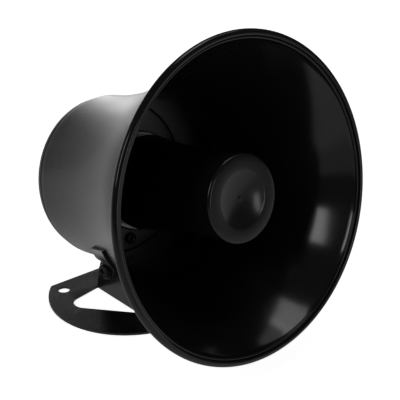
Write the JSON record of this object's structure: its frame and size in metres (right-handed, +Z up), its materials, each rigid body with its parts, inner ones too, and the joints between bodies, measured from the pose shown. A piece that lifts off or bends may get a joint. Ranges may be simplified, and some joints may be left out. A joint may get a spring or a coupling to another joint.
{
  "type": "pa horn speaker",
  "caption": "Small re-entrant public address horn loudspeaker: round flared bell with a reflex cup, on a tilting sheet-steel foot.",
  "frame": {"origin": "underside of the base plate, below the centre of its disc", "axes": "+Z up from the base plate, -Y towards the side that the mouth faces, X along the tilt bolt"},
  "size_m": [0.127, 0.1173, 0.1342],
  "materials": {
    "bell_plastic": "black moulded plastic, satin outside and glossy inside",
    "cap_plastic": "black moulded plastic, satin",
    "plate_plastic": "black moulded plastic, matt",
    "inner_plastic": "black moulded plastic, satin",
    "nose_plastic": "black moulded plastic, satin",
    "seal_rubber": "black rubber",
    "driver_film": "amber film",
    "coil_wire": "lacquered copper wire",
    "driver_steel": "zinc plated",
    "ferrite": "ground ferrite",
    "board": "brown laminate",
    "tag_brass": "tinned brass",
    "black_screws": "black zinc",
    "black_sheet": "black enamel on steel sheet",
    "pivot_steel": "black zinc"
  },
  "bodies": {
    "bracket": {"base_bracket": "black_sheet", "pivot_bolt": "pivot_steel", "pivot_washers": "pivot_steel", "pivot_nut": "pivot_steel"},
    "horn": {"back_plate": "plate_plastic", "bell": "bell_plastic", "cable_grommet": "seal_rubber", "cap_seal": "seal_rubber", "clamp_screws": "driver_steel", "cup_spider": "inner_plastic", "driver_clamp": "driver_steel", "driver_gasket": "seal_rubber", "magnet": "ferrite", "nose_cap": "nose_plastic", "plate_screws": "black_screws", "pole_yoke": "driver_steel", "rear_cap": "cap_plastic", "reflex_cup": "inner_plastic", "saddle": "black_sheet", "saddle_screws": "black_screws", "surround": "driver_film", "terminal_board": "board", "terminal_tags": "tag_brass", "throat_tube": "inner_plastic", "top_plate": "driver_steel"},
    "diaphragm": {"diaphragm": "driver_film", "voice_coil": "coil_wire"}
  },
  "joints": [
    {"name": "tilt", "type": "hinge", "parent": "bracket", "child": "horn", "pos_m": [0, 0.0031, 0.0139], "axis": [-1, 0, 0], "range_deg": [-5, 50]},
    {"name": "excursion", "type": "slide", "parent": "horn", "child": "diaphragm", "axis": [0, -0.9823, 0.1874], "range_m": [-0.00025, 0.00025], "stiffness_N_per_m": 1500}
  ]
}
